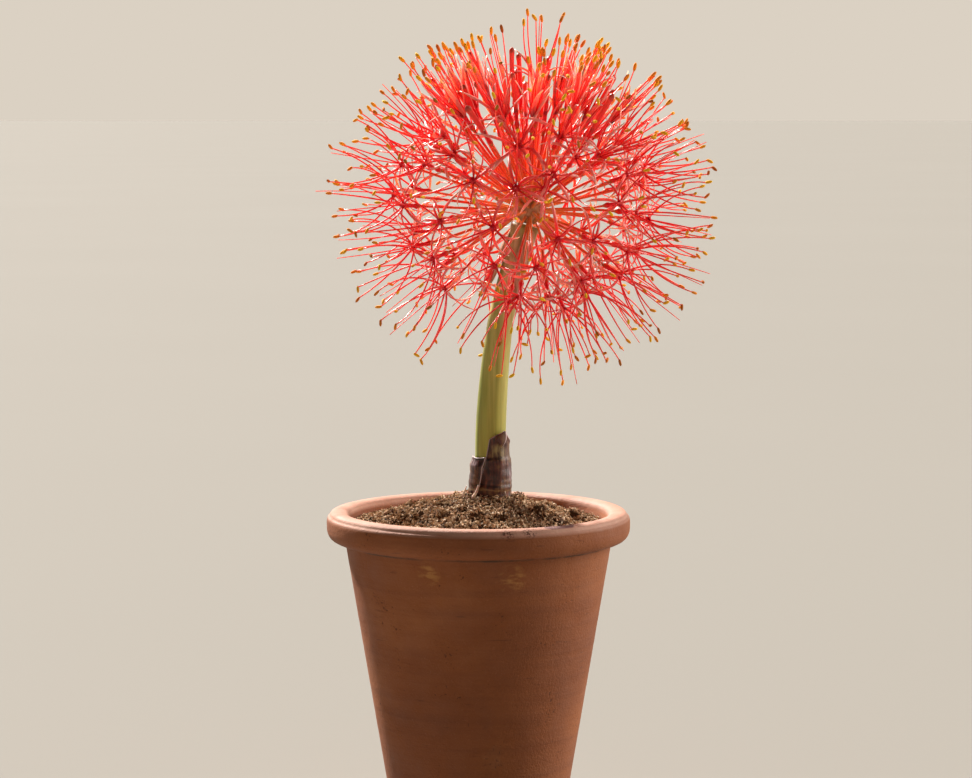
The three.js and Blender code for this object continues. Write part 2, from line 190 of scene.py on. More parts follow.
class Piece:
    """Gathers the parts of one piece's mesh. Each face has one of the piece's materials, and each
    point has two values that the materials read: `along`, from 0 at the part's foot to 1 at its
    tip, and `tint`, a random value that part keeps all over."""

    def __init__(self, name, *materials):
        self.name = name
        self.materials = materials
        self.points, self.faces, self.marks, self.along, self.tint = [], [], [], [], []
        self.count = 0

    def add(self, points, faces, material=0, along=0.5, tint=0.5):
        points = np.asarray(points, float).reshape(-1, 3)
        self.points.append(points)
        self.faces.extend([tuple(k + self.count for k in face) for face in faces])
        self.marks.extend([material] * len(faces))
        self.along.append(np.broadcast_to(np.asarray(along, float), len(points)))
        self.tint.append(np.broadcast_to(np.asarray(tint, float), len(points)))
        self.count += len(points)

    def make(self, smooth_shading=True):
        mesh = bpy.data.meshes.new(self.name)
        mesh.from_pydata(np.vstack(self.points).tolist(), [], self.faces)
        mesh.polygons.foreach_set("material_index", self.marks)
        for label, values in (("along", self.along), ("tint", self.tint)):
            attribute = mesh.attributes.new(label, "FLOAT", "POINT")
            attribute.data.foreach_set("value", np.concatenate(values).astype(np.float32))
        for material in self.materials:
            mesh.materials.append(material)
        mesh.polygons.foreach_set("use_smooth", [smooth_shading] * len(mesh.polygons))
        mesh.update()
        made = bpy.data.objects.new(self.name, mesh)
        scene.collection.objects.link(made)
        return made


def frames_along(path, side=None):
    """Unit tangents and two cross vectors at each point, carried along with no twist."""
    tangents = np.gradient(path, axis=0)
    tangents /= np.linalg.norm(tangents, axis=1)[:, None]
    side = across(tangents[0]) if side is None else side
    sides = []
    for tangent in tangents:
        side = unit(side - tangent * np.dot(side, tangent))
        sides.append(side)
    sides = np.array(sides)
    return tangents, sides, np.cross(tangents, sides)


def rod(piece, path, radii, sides, material=0, tint=0.5, along=None, lobes=0, lobe_depth=0.0):
    """A round rod along a path, with lobes round its section if asked."""
    path = np.asarray(path, float)
    rings = len(path)
    radii = np.broadcast_to(np.asarray(radii, float), rings)
    _, side, up = frames_along(path)
    angles = np.arange(sides) * 2 * math.pi / sides
    shape = 1 + lobe_depth * np.cos(lobes * angles)
    reach = radii[:, None] * shape[None, :]
    points = (
        path[:, None, :]
        + (reach * np.cos(angles))[:, :, None] * side[:, None, :]
        + (reach * np.sin(angles))[:, :, None] * up[:, None, :]
    )
    along = np.linspace(0, 1, rings) if along is None else np.asarray(along, float)
    piece.add(points, loft_faces(rings, sides), material, np.repeat(along, sides), tint)


def blade(piece, path, widths, sideways, cup, thickness, material=0, tint=0.5):
    """A narrow leaf-like strip: hollow across by `cup` of its width, and closed all round."""
    path = np.asarray(path, float)
    rings = len(path)
    half = 0.5 * np.broadcast_to(np.asarray(widths, float), rings)[:, None]
    tangents = np.gradient(path, axis=0)
    tangents /= np.linalg.norm(tangents, axis=1)[:, None]
    side = sideways - tangents * (tangents @ sideways)[:, None]
    side /= np.linalg.norm(side, axis=1)[:, None]
    facing = np.cross(side, tangents)
    lift = facing * half * cup * 2
    under = facing * thickness
    ring = [
        path - side * half + lift,
        path,
        path + side * half + lift,
        path + side * half + lift - under * 0.4,
        path - under,
        path - side * half + lift - under * 0.4,
    ]
    points = np.stack(ring, axis=1)
    along = np.repeat(np.linspace(0, 1, rings), 6)
    piece.add(points, loft_faces(rings, 6), material, along, tint)


def thin_sheet(piece, rows, columns, point_at):
    """A thin closed skin. point_at(v, u) gives its inside point, its outside point and its tint
    at a share v along it and a share u across it."""
    inside, outside = np.zeros((rows, columns, 3)), np.zeros((rows, columns, 3))
    tint = np.zeros((rows, columns))
    for i, v in enumerate(np.linspace(0, 1, rows)):
        for j, u in enumerate(np.linspace(0, 1, columns)):
            inside[i, j], outside[i, j], tint[i, j] = point_at(v, u)
    sides = 2 * columns
    faces = list(loft_faces(rows, sides, False))
    last = (rows - 1) * sides
    for j in range(columns - 1):
        k = sides - 1 - j
        faces.append((j, k, k - 1, j + 1))
        faces.append((last + j, last + j + 1, last + k - 1, last + k))
    along = np.repeat(np.linspace(0, 1, rows), sides)
    points = np.concatenate([outside, inside[:, ::-1]], axis=1)
    tints = np.concatenate([tint, tint[:, ::-1]], axis=1).reshape(-1)
    piece.add(points, faces, along=along, tint=tints)


def skinned_rings(piece, rings, foot, top, tint=0.5):
    """Skins rings of points round the Z axis, from the foot on the axis to the top on it."""
    count, segments = rings.shape[:2]
    last = (count - 1) * segments
    faces = list(loft_faces(count, segments, False))
    for j in range(segments):
        following = (j + 1) % segments
        faces.append((following, j, last + segments))
        faces.append((last + j, last + following, last + segments + 1))
    piece.add(np.vstack([rings.reshape(-1, 3), foot, top]), faces, tint=tint)


# ---------------------------------------------------------------- material tools


def linear(hex_colour):
    """A colour written as #rrggbb, as the shader's linear RGBA."""
    parts = [int(hex_colour[k:k + 2], 16) / 255 for k in (1, 3, 5)]
    return (*[c / 12.92 if c <= 0.04045 else ((c + 0.055) / 1.055) ** 2.4 for c in parts], 1.0)


class Shading:
    """One material's nodes. Each call adds nodes and returns the output that the next one reads."""

    def __init__(self, name, **sockets):
        self.material = bpy.data.materials.new(name)
        self.material.use_nodes = True
        self.nodes = self.material.node_tree.nodes
        self.links = self.material.node_tree.links
        self.shader = self.nodes["Principled BSDF"]
        for label, value in sockets.items():
            self.shader.inputs[label.replace("_", " ")].default_value = value

    def node(self, kind, inputs=None, output=0, **settings):
        made = self.nodes.new("ShaderNode" + kind)
        for label, value in settings.items():
            setattr(made, label, value)
        for key, value in (inputs or {}).items():
            if isinstance(value, bpy.types.NodeSocket):
                self.links.new(value, made.inputs[key])
            else:
                made.inputs[key].default_value = value
        return made.outputs[output]

    def place(self, stretch=(1, 1, 1)):
        """The point's place in the row frame, stretched along each axis."""
        where = self.node("TexCoord", output="Object")
        return self.node("Mapping", {"Vector": where, "Scale": stretch})

    def value(self, name):
        return self.node("Attribute", output="Fac", attribute_name=name)

    def noise(self, scale, detail=4.0, roughness=0.55, stretch=(1, 1, 1)):
        return self.node("TexNoise", {
            "Vector": self.place(stretch), "Scale": scale, "Detail": detail, "Roughness": roughness,
        })

    def ramp(self, factor, *stops):
        """A colour ramp: each stop is (position, colour as #rrggbb or a grey number)."""
        made = self.nodes.new("ShaderNodeValToRGB")
        self.links.new(factor, made.inputs["Fac"])
        elements = made.color_ramp.elements
        while len(elements) < len(stops):
            elements.new(0.5)
        for element, (position, colour) in zip(elements, stops):
            element.position = position
            element.color = linear(colour) if isinstance(colour, str) else (colour,) * 3 + (1,)
        return made.outputs["Color"]

    def mix(self, factor, first, second, blend="MIX"):
        made = self.nodes.new("ShaderNodeMix")
        made.data_type = "RGBA"
        made.blend_type = blend
        for key, value in ((0, factor), (6, first), (7, second)):
            if isinstance(value, bpy.types.NodeSocket):
                self.links.new(value, made.inputs[key])
            else:
                made.inputs[key].default_value = linear(value) if isinstance(value, str) else value
        return made.outputs[2]

    def toned(self, colour, tone, pattern, start, end, amount):
        """The colour turned towards a tone: by `amount` where the pattern is above `end`, and not
        at all where it is below `start`."""
        return self.mix(self.ramp(pattern, (start, 0.0), (end, amount)), colour, tone)

    def math(self, operation, first, second=0.0):
        return self.node("Math", {0: first, 1: second}, operation=operation)

    def times(self, first, second):
        return self.math("MULTIPLY", first, second)

    def spot(self, centre, radius, softness):
        """1 within a radius of a place, fading to 0."""
        ends = {0: self.place(), 1: centre}
        apart = self.node("VectorMath", ends, output="Value", operation="DISTANCE")
        return self.node("MapRange", {0: apart, 1: radius, 2: radius + softness, 3: 1.0, 4: 0.0})

    def rising(self, low, high, axis="Z", waver=0.0):
        """0 below one place along an axis, 1 above the other, with an uneven border if asked."""
        where = self.node("SeparateXYZ", {0: self.place()}, output=axis)
        if waver:
            where = self.math("ADD", where, self.times(self.noise(130, 3), waver))
        return self.node("MapRange", {0: where, 1: low, 2: high, 3: 0.0, 4: 1.0})

    def between(self, low, high, fade, axis="Z", waver=0.0):
        """1 from one place along an axis to another, and 0 beyond them."""
        above_low = self.rising(low - fade, low, axis, waver)
        return self.math("SUBTRACT", above_low, self.rising(high, high + fade, axis, waver))

    def finish(self, colour=None, height=None, strength=0.3, distance=0.0005, roughness=None):
        if colour is not None:
            self.links.new(colour, self.shader.inputs["Base Color"])
        if roughness is not None:
            self.links.new(roughness, self.shader.inputs["Roughness"])
        if height is not None:
            bump = self.node("Bump", {"Strength": strength, "Distance": distance, "Height": height})
            self.links.new(bump, self.shader.inputs["Normal"])
        return self.material


# ---------------------------------------------------------------- materials


RUBS = (((-0.0255, -0.0655, 0.1455), 0.0035), ((0.0175, -0.0675, 0.1435), 0.0045))
CHIPS = (((0.015, -0.0775, 0.168), 0.002), ((0.026, -0.0735, 0.169), 0.0025))
# Where the stalk's shadow is painted on the lip: a purple patch of painted shadow.
PAINTED_SHADOW_X, PAINTED_SHADOW_Y = (0.034, 0.048), (-0.0675, -0.055)
PAINTED_SHADOW_FADE = (0.1688, 0.1694)


def terracotta():
    """Fired clay: cloudy, faintly banded from the wheel, with dark pits, two yellowish rubs, a lip
    that is paler partly from lighter clay and partly from painted sunlight, a purple patch of
    painted stalk shadow on the lip, and a dark grey-brown line just under the rim."""
    s = Shading("terracotta_clay", Specular_IOR_Level=0.4)
    colour = s.ramp(s.noise(16, 5), (0.3, "#7f431e"), (0.5, "#8f4f26"), (0.72, "#a26034"))
    turning = s.noise(9, 6, 0.6, (1.0, 1.0, 26.0))
    colour = s.toned(colour, "#6a351b", turning, 0.45, 0.8, 0.4)
    grit = s.noise(1300, 3)
    colour = s.toned(colour, "#c98f6d", grit, 0.6, 0.72, 0.15)
    pits = s.times(s.noise(700, 2), s.noise(60, 3))
    colour = s.toned(colour, "#3c1c0d", pits, 0.39, 0.45, 0.6)
    scratches = s.noise(240, 3, 0.5, (0.35, 0.35, 2.6))
    colour = s.toned(colour, "#4e2614", scratches, 0.66, 0.72, 0.35)
    bloom = s.times(s.noise(30, 6, 0.7), s.noise(8, 3))
    colour = s.toned(colour, "#a87f66", bloom, 0.34, 0.46, 0.25)
    # Pale lip: partly lighter clay, partly painted sunlight on the rim's top.
    lip = s.times(s.rising(*LIP_FADE), s.ramp(s.noise(45, 5), (0.3, 0.5), (0.7, 0.95)))
    colour = s.mix(lip, colour, "#c99d8a")
    # A dark grey-brown line just under the rim, broken up by noise.
    under_rim = s.between(RIM_UNDERSIDE - 1.1 * MM, RIM_UNDERSIDE - 0.2 * MM, 0.6 * MM)
    dark_under_rim_line = s.times(under_rim, s.ramp(s.noise(70, 5), (0.4, 0.1), (0.6, 0.8)))
    colour = s.mix(dark_under_rim_line, colour, "#3b2f24")
    streaks = s.ramp(s.noise(150, 5, 0.6, (0.7, 0.7, 2.2)), (0.46, 0.0), (0.59, 0.7))
    for centre, radius in RUBS:
        colour = s.mix(s.times(s.spot(centre, radius, 4 * MM), streaks), colour, "#bb8045")
    cracks = s.ramp(s.noise(900, 2), (0.5, 0.0), (0.56, 0.85))
    for centre, radius in CHIPS:
        colour = s.mix(s.times(s.spot(centre, radius, 2 * MM), cracks), colour, "#4a2210")
    # A purple patch of painted shadow: the stalk's shadow painted onto the lip.
    painted_stalk_shadow = s.times(s.between(*PAINTED_SHADOW_X, 1 * MM, "X"), s.between(*PAINTED_SHADOW_Y, 1 * MM, "Y"))
    painted_stalk_shadow = s.times(painted_stalk_shadow, s.rising(*PAINTED_SHADOW_FADE))
    colour = s.mix(s.times(painted_stalk_shadow, 0.8), colour, "#5b3a42")
    height = s.math("SUBTRACT", s.math("ADD", grit, s.times(turning, 3.0)), s.times(pits, 4.0))
    dull = s.ramp(s.noise(60, 4), (0.3, 0.62), (0.7, 0.82))
    return s.finish(colour, height, 0.35, 0.0004, dull)


def shard():
    s = Shading("broken_clay", Specular_IOR_Level=0.2)
    cloud = s.ramp(s.noise(60, 5), (0.3, "#7c432b"), (0.6, "#96563a"), (0.8, "#b98567"))
    dull = s.ramp(s.noise(90), (0.3, 0.85), (0.7, 0.98))
    return s.finish(cloud, s.noise(900, 3), 0.5, 0.0005, dull)


def potting_mix():
    s = Shading("potting_mix", Specular_IOR_Level=0.15)
    crumbs = s.ramp(
        s.value("tint"),
        (0.0, "#20140c"), (0.25, "#5a402c"), (0.5, "#ab8665"), (0.75, "#dcb993"), (1.0, "#f2dec1"),
    )
    mottle = s.ramp(s.noise(900, 4), (0.35, 0.55), (0.7, 1.0))
    colour = s.mix(0.75, crumbs, mottle, "MULTIPLY")
    colour = s.toned(colour, "#a98a66", s.noise(420, 2), 0.6, 0.66, 0.6)
    dull = s.ramp(s.noise(300), (0.3, 0.85), (0.7, 1.0))
    return s.finish(colour, s.noise(2200, 3), 0.7, 0.0005, dull)


def fleshy(name, dark, light, stretch=(1, 1, 1)):
    s = Shading(name, Specular_IOR_Level=0.4, Subsurface_Weight=0.1, Subsurface_Scale=0.002)
    grain = s.noise(160, 4, 0.6, stretch)
    colour = s.ramp(grain, (0.3, dark), (0.7, light))
    return s.finish(colour, grain, 0.2, 0.0003, s.ramp(grain, (0.3, 0.5), (0.7, 0.65)))


def stalk():
    """Yellow-green, striped and veined lengthwise, and paler and blushed towards the flower."""
    s = Shading("stalk_green", Specular_IOR_Level=0.45)
    colour = s.ramp(
        s.value("along"),
        (0.0, "#aaa238"), (0.25, "#bab24c"), (0.55, "#ccc66c"), (0.8, "#dacb8c"), (1.0, "#e2c098"),
    )
    stripes = s.noise(120, 2, 0.5, (1.0, 1.0, 0.03))
    colour = s.mix(s.ramp(stripes, (0.42, 0.8), (0.58, 0.0)), colour, "#8f9c38")
    veins = s.noise(620, 3, 0.5, (1.0, 1.0, 0.035))
    colour = s.toned(colour, "#7a7824", veins, 0.4, 0.65, 0.4)
    blush = s.times(s.noise(70, 4), s.ramp(s.value("along"), (0.2, 0.25), (0.9, 1.0)))
    colour = s.toned(colour, "#a8593c", blush, 0.4, 0.62, 0.4)
    return s.finish(colour, veins, 0.25, 0.0003, s.ramp(veins, (0.3, 0.36), (0.7, 0.5)))


# The first patch is the skin's own cream-green; the other two are lilac painted sheen.
SHEATH_PATCHES_AND_SHEEN = (
    ((0.0105, -0.0080, 0.2015), 0.0022, "#a0935f"),
    ((0.0165, -0.0020, 0.1900), 0.0030, "#937f86"),
    ((-0.0035, -0.0055, 0.1965), 0.0026, "#a08a92"),
)
SHEATH_LINES = (
    (0.1978, 0.1986, "#150907"),
    (0.1836, 0.1842, "#150907"),
    (0.1812, 0.1820, "#86653c"),
)


def papery_sheath():
    """Brown-maroon skin, blotched and lined across, with one pale cream-green patch and two lilac
    patches of painted sheen. The mesh's tint says how pale its margins are."""
    s = Shading("papery_sheath", Specular_IOR_Level=0.5)
    veins = s.noise(700, 4, 0.6, (1.0, 1.0, 0.12))
    colour = s.ramp(veins, (0.3, "#290e09"), (0.5, "#4a1f14"), (0.68, "#743c27"))
    blotches = s.noise(170, 5, 0.65, (1.0, 1.0, 0.7))
    colour = s.toned(colour, "#7d5a30", blotches, 0.52, 0.62, 0.6)
    colour = s.mix(s.ramp(blotches, (0.36, 0.75), (0.46, 0.0)), colour, "#1b0c08")
    veiled = s.ramp(veins, (0.42, 0.05), (0.6, 0.95))
    # One pale patch of the skin's own colour and two of painted lilac sheen.
    for centre, radius, tone in SHEATH_PATCHES_AND_SHEEN:
        colour = s.mix(s.times(s.spot(centre, radius, 3 * MM), veiled), colour, tone)
    broken = s.ramp(s.noise(150, 3), (0.42, 0.0), (0.6, 0.9))
    for low, high, tone in SHEATH_LINES:
        low, high = low + BAND_WAVER / 2, high + BAND_WAVER / 2
        line = s.between(low, high, 0.4 * MM, waver=BAND_WAVER)
        colour = s.mix(s.times(line, broken), colour, tone)
    colour = s.toned(colour, "#cbb4b6", s.value("tint"), 0.3, 0.95, 0.9)
    rib = s.math("ADD", veins, blotches)
    return s.finish(colour, rib, 0.6, 0.0005, s.ramp(blotches, (0.3, 0.34), (0.7, 0.58)))


def withered_bract():
    s = Shading("withered_bract", Specular_IOR_Level=0.3)
    veins = s.noise(800, 4, 0.6, (1.0, 1.0, 0.08))
    colour = s.ramp(veins, (0.3, "#a8765a"), (0.55, "#cda584"), (0.75, "#e6cdb2"))
    colour = s.toned(colour, "#8a5136", s.value("along"), 0.6, 1.0, 0.6)
    return s.finish(colour, veins, 0.4, 0.0004, s.ramp(veins, (0.3, 0.5), (0.7, 0.75)))


def petal_like(name, stops, tint_to, tint_amount, gloss, streak=0.25):
    """Flower tissue: a colour along its length, a random tint for each part, and fine streaks."""
    s = Shading(
        name, Specular_IOR_Level=0.45, Roughness=gloss,
        Subsurface_Weight=0.7, Subsurface_Scale=0.0025,
    )
    colour = s.ramp(s.value("along"), *stops)
    colour = s.toned(colour, tint_to, s.value("tint"), 0.2, 1.0, tint_amount)
    grain = s.noise(1100, 3)
    colour = s.toned(colour, "#b00a10", grain, 0.45, 0.75, streak)
    return s.finish(colour, grain, 0.15, 0.0002)


def anther_grain():
    s = Shading("anther_pollen", Specular_IOR_Level=0.2, Roughness=0.75)
    # Yellow to orange is the anthers' own colour; the brown end of the ramp is painted shade, some
    # anthers coloured as if in shadow.
    colour = s.ramp(
        s.value("tint"), (0.0, "#ffc41a"), (0.4, "#ffa41c"), (0.75, "#f68722"), (1.0, "#a4521a"),
    )
    pollen = s.noise(5000, 2)
    colour = s.toned(colour, "#ffd75a", pollen, 0.45, 0.7, 0.4)
    return s.finish(colour, pollen, 0.5, 0.0002)


def plain_floor():
    s = Shading("pale_floor", Roughness=0.9, Specular_IOR_Level=0.1)
    return s.finish(s.ramp(s.noise(0.7, 2), (0.0, "#888680"), (1.0, "#8b8983")))


CLAY = terracotta()
SHARD = shard()
SOIL = potting_mix()
BULB = fleshy("bulb_scales", "#a98355", "#dcc39a", (1, 1, 0.1))
ROOT = fleshy("pale_root", "#b59c78", "#e2d6bd")
STALK = stalk()
KNOB = fleshy("hub_knob", "#b3804e", "#e6c298")
SHEATH = papery_sheath()
BRACT = withered_bract()
PEDICEL = petal_like(
    "flower_stalk",
    ((0.0, "#ecc690"), (0.16, "#efa260"), (0.38, "#ec602e"), (0.7, "#e23424"), (1.0, "#d41822")),
    "#f79c48", 0.5, 0.38, 0.4,
)
TUBE = petal_like(
    "flower_tube",
    ((0.0, "#d8862a"), (0.15, "#de4c22"), (0.35, "#ea0e28"), (1.0, "#e40824")),
    "#f23a44", 0.3, 0.35,
)
TEPAL = petal_like(
    "petal_pink",
    ((0.0, "#ee0e2a"), (0.25, "#f6383e"), (0.5, "#fa7672"), (0.8, "#fdb2a8"), (1.0, "#ffeae2")),
    "#ffbab0", 0.4, 0.4, 0.15,
)
FILAMENT = petal_like(
    "stamen_red",
    ((0.0, "#dc0422"), (0.25, "#ec0c24"), (0.6, "#f43434"), (1.0, "#fb7462")),
    "#fb6c5c", 0.5, 0.32,
)
BUD = petal_like(
    "bud_red",
    ((0.0, "#e6142a"), (0.5, "#f42c30"), (0.84, "#ec3a30"), (0.9, "#a8421c"), (1.0, "#6e2a12")),
    "#fc7464", 0.5, 0.35,
)
PALE_SKIN = fleshy("torn_skin", "#c08f7c", "#ecdccb")
ANTHER = anther_grain()


# ---------------------------------------------------------------- camera, floor and light

LOOK_AT = Vector((0.004, 0.0, 0.234))
CAMERA_DISTANCE = 1.5
CAMERA_HEIGHT = 0.376


def make_camera():
    data = bpy.data.cameras.new("camera")
    data.lens = 106
    data.sensor_width = 36
    data.clip_end = 1000
    camera = bpy.data.objects.new("camera", data)
    camera.location = (LOOK_AT.x, -CAMERA_DISTANCE, CAMERA_HEIGHT)
    camera.rotation_euler = (LOOK_AT - camera.location).to_track_quat("-Z", "Y").to_euler()
    scene.collection.objects.link(camera)
    scene.camera = camera


def soft_sun(name, towards, strength, softness, colour):
    """Even light from one side: `towards` points from the object to the light."""
    data = bpy.data.lights.new(name, "SUN")
    data.energy = strength
    data.angle = math.radians(softness)
    data.color = linear(colour)[:3]
    lamp = bpy.data.objects.new(name, data)
    lamp.rotation_euler = Vector(towards).to_track_quat("Z", "Y").to_euler()
    scene.collection.objects.link(lamp)


def make_world():
    """A backdrop as pale as the floor all round the horizon, and above that dimmer overhead and on
    the near side."""
    world = bpy.data.worlds.new("studio")
    world.use_nodes = True
    nodes, links = world.node_tree.nodes, world.node_tree.links
    split = nodes.new("ShaderNodeSeparateXYZ")
    links.new(nodes.new("ShaderNodeTexCoord").outputs["Generated"], split.inputs[0])

    def fade(along, *stops):
        ramp = nodes.new("ShaderNodeValToRGB")
        links.new(split.outputs[along], ramp.inputs["Fac"])
        for element, (position, colour) in zip(ramp.color_ramp.elements, stops):
            element.position, element.color = position, linear(colour)
        return ramp.outputs["Color"]

    def combine(blend, first, second):
        mix = nodes.new("ShaderNodeMix")
        mix.data_type = "RGBA"
        mix.blend_type = blend
        mix.inputs[0].default_value = 1.0
        links.new(first, mix.inputs[6])
        links.new(second, mix.inputs[7])
        return mix.outputs[2]

    upwards = fade("Z", (0.25, "#dbd1c3"), (0.5, "#74716d"))
    away = fade("Y", (0.0, "#8c8a88"), (0.8, "#ffffff"))
    horizon = fade("Z", (0.04, "#ffffff"), (0.1, "#000000"))
    backdrop = combine("MULTIPLY", upwards, combine("LIGHTEN", away, horizon))
    links.new(backdrop, nodes["Background"].inputs["Color"])
    scene.world = world


def make_studio():
    reach = 400
    floor = Piece("floor", plain_floor())
    corners = [(-reach, -reach, 0), (reach, -reach, 0), (reach, reach, 0), (-reach, reach, 0)]
    floor.add(corners, [(0, 1, 2, 3)])
    floor.make()
    soft_sun("window_sun", (-0.434, 0.631, 0.64), 9.3, 4, "#fff7f0")
    soft_sun("window_side", (1.0, 0.3, 0.4), 3.2, 40, "#fff6ec")
    make_world()
    scene.view_settings.view_transform = "Standard"


make_camera()
make_studio()


# ---------------------------------------------------------------- pot


def body_radius(height):
    return BASE_RADIUS + BODY_TAPER * height


def bore_radius(height):
    """The bore follows the outside, then flares to the mouth."""
    straight = body_radius(height) - WALL
    flare = (height - FLARE_HEIGHT) / (POT_HEIGHT - MOUTH_ROUND - FLARE_HEIGHT)
    neck = body_radius(FLARE_HEIGHT) - WALL
    return np.where(flare <= 0, straight, neck + (MOUTH_RADIUS - neck) * flare)


def pot_outline():
    """The wall's section, as (radius, height) rows, from under the base, round the rim and down to
    the floor inside."""
    foot = 1.6 * MM
    neck = RIM_UNDERSIDE - 2.3 * MM
    floor_round = 4 * MM
    rim, top = RIM_RADIUS, POT_HEIGHT
    under_rim = (body_radius(neck) + 3 * MM, RIM_UNDERSIDE)
    band_foot, band_top = (rim, RIM_UNDERSIDE + 7.5 * MM), (rim - 0.9 * MM, top - 2.9 * MM)
    groove, lip = (rim - 1.6 * MM, top - 2.4 * MM), (rim - 6 * MM, top)
    curves = [
        [(BASE_RADIUS - foot, 0), (BASE_RADIUS, 0), (body_radius(foot), foot)],
        [(body_radius(neck), neck), (body_radius(neck), RIM_UNDERSIDE - 0.5 * MM), under_rim],
        [under_rim, (rim, RIM_UNDERSIDE + 0.6 * MM), band_foot],
        [band_foot, (rim + 0.2 * MM, top - 3.4 * MM), band_top],
        [groove, (rim - 1.9 * MM, top), lip],
        [lip, (MOUTH_RADIUS + 0.4 * MM, top), (MOUTH_RADIUS, top - MOUTH_ROUND)],
        [
            (bore_radius(FLOOR + floor_round), FLOOR + floor_round),
            (bore_radius(FLOOR), FLOOR),
            (bore_radius(FLOOR) - floor_round, FLOOR),
        ],
    ]
    rows = [np.array([[BASE_RADIUS * 0.5, 0.0]])]
    for k, control in enumerate(curves):
        if k == 1:
            heights = np.linspace(foot, neck, 60)[1:-1]
            rows.append(np.stack([body_radius(heights), heights], axis=1))
        if k == 6:
            heights = np.linspace(top - MOUTH_ROUND, FLOOR + floor_round, 30)[1:-1]
            rows.append(np.stack([bore_radius(heights), heights], axis=1))
        starts_where_last_ended = k in (2, 3, 5)
        rows.append(bezier(control, 9)[(1 if starts_where_last_ended else 0):])
    rows.append(np.array([[0.02, FLOOR]]))
    return np.vstack(rows)


def thrown(outline, segments):
    """The outline turned about the Z axis, with the slight unevenness of a hand-turned pot: soft
    rings round it, and a rim that isn't quite true."""
    angles = np.arange(segments) * 2 * math.pi / segments
    level = outline[:, 1][:, None]
    ripple = np.array([
        rough((0, 0, z), 260, 3.0) + 0.6 * rough((0, 0, z), 90, 8.0) for z in level[:, 0]
    ])
    sway = 0.12 * MM * np.sin(2 * angles + 0.7) + 0.08 * MM * np.sin(3 * angles)
    radii = (
        outline[:, 0][:, None]
        + ripple[:, None] * 0.09 * MM * smooth(0.0, 0.01, level)
        + sway * smooth(0.05, 0.17, level)
    )
    heights = level + 0.15 * MM * np.sin(2 * angles - 0.4) * smooth(0.15, 0.17, level)
    return np.stack([radii * np.cos(angles), radii * np.sin(angles), heights], axis=2)


def drilled(pot):
    """Cuts the drain holes that the CAD pot has, one under the middle of each crock."""
    for node in CROCKS:
        where = centre_of(node)
        bore = unit(np.array([where[0], where[1], 0])) * DRAIN_CIRCLE
        drill = Piece("drill")
        path = [bore - UP * 10 * MM, bore, bore + UP * 20 * MM]
        rod(drill, path, DRAIN_RADIUS, 40)
        tool = drill.make()
        cut = pot.modifiers.new("drain", "BOOLEAN")
        cut.object = tool
        cut.operation = "DIFFERENCE"
        cut.solver = "EXACT"
        apply_modifiers(pot)
        bpy.data.objects.remove(tool)
    mesh = bmesh.new()
    mesh.from_mesh(pot.data)
    bmesh.ops.dissolve_degenerate(mesh, dist=2e-6, edges=mesh.edges)
    mesh.to_mesh(pot.data)
    mesh.free()


def apply_modifiers(piece):
    evaluated = piece.evaluated_get(bpy.context.evaluated_depsgraph_get())
    shaped = bpy.data.meshes.new_from_object(evaluated)
    piece.modifiers.clear()
    piece.data = shaped


def make_pot():
    piece = Piece("clay_pot", CLAY)
    skinned_rings(piece, thrown(pot_outline(), 168), (0, 0, 0), (0, 0, FLOOR))
    pot = piece.make()
    drilled(pot)
    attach(pot, "pot")
    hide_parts("terracotta_pot")


def finish_node(node, material):
    """Gives a CAD node that stays in view its material."""
    frame["nodes"][node].data.materials.clear()
    frame["nodes"][node].data.materials.append(material)


make_pot()
for node in CROCKS:
    finish_node(node, SHARD)


# ---------------------------------------------------------------- soil


def soil_radius(height):
    return bore_radius(height) - WALL_PLAY


def clods(rng, count):
    """Places and sizes of the bigger lumps in the soil's top."""
    found = []
    for _ in range(count):
        radius, angle = 60 * MM * math.sqrt(rng.random()), 2 * math.pi * rng.random()
        size = rng.uniform(1.6, 4.0) * MM
        found.append((radius * math.cos(angle), radius * math.sin(angle), size))
    return found


BIG_CLODS = [                # x, y and size in millimetres
    (-27, 36, 6.0), (-38, 22, 5.0), (-47, 6, 4.5), (-44, -20, 4.5), (-20, -26, 5.0), (14, -31, 5.0),
    (34, -15, 5.5), (52, 2, 6.0), (38, 17, 6.5), (22, 24, 6.0), (5, 45, 6.0), (31, 41, 5.0),
]
CLODS = clods(np.random.default_rng(5), CLOD_COUNT)
CLODS += [(x * MM, y * MM, size * MM) for x, y, size in BIG_CLODS]


def soil_height(x, y):
    """The heaped top of the soil: a low dome, lumpy away from the wall and the plant."""
    from_plant = math.hypot(x - PLANT[0], y - PLANT[1])
    from_axis = math.hypot(x, y)
    dome = 1 - (from_axis / soil_radius(SOIL_EDGE)) ** 2
    level = SOIL_EDGE + (SOIL_CROWN - SOIL_EDGE) * max(dome, 0) ** 1.9
    lumps = 1.9 * MM * rough((x, y, 0), 75, 5.0) + 1.4 * MM * rough((x, y, 0), 190, 9.0) - 2.8 * MM
    for clod_x, clod_y, size in CLODS:
        inside = 1 - ((x - clod_x) ** 2 + (y - clod_y) ** 2) / size**2
        lumps += 0.65 * size * math.sqrt(max(inside, 0))
    calm = smooth(9 * MM, 20 * MM, from_plant) * (0.25 + 0.75 * smooth(66 * MM, 50 * MM, from_axis))
    return level + lumps * calm + 0.6 * MM * rough((x, y, 0), 520, 2.0)


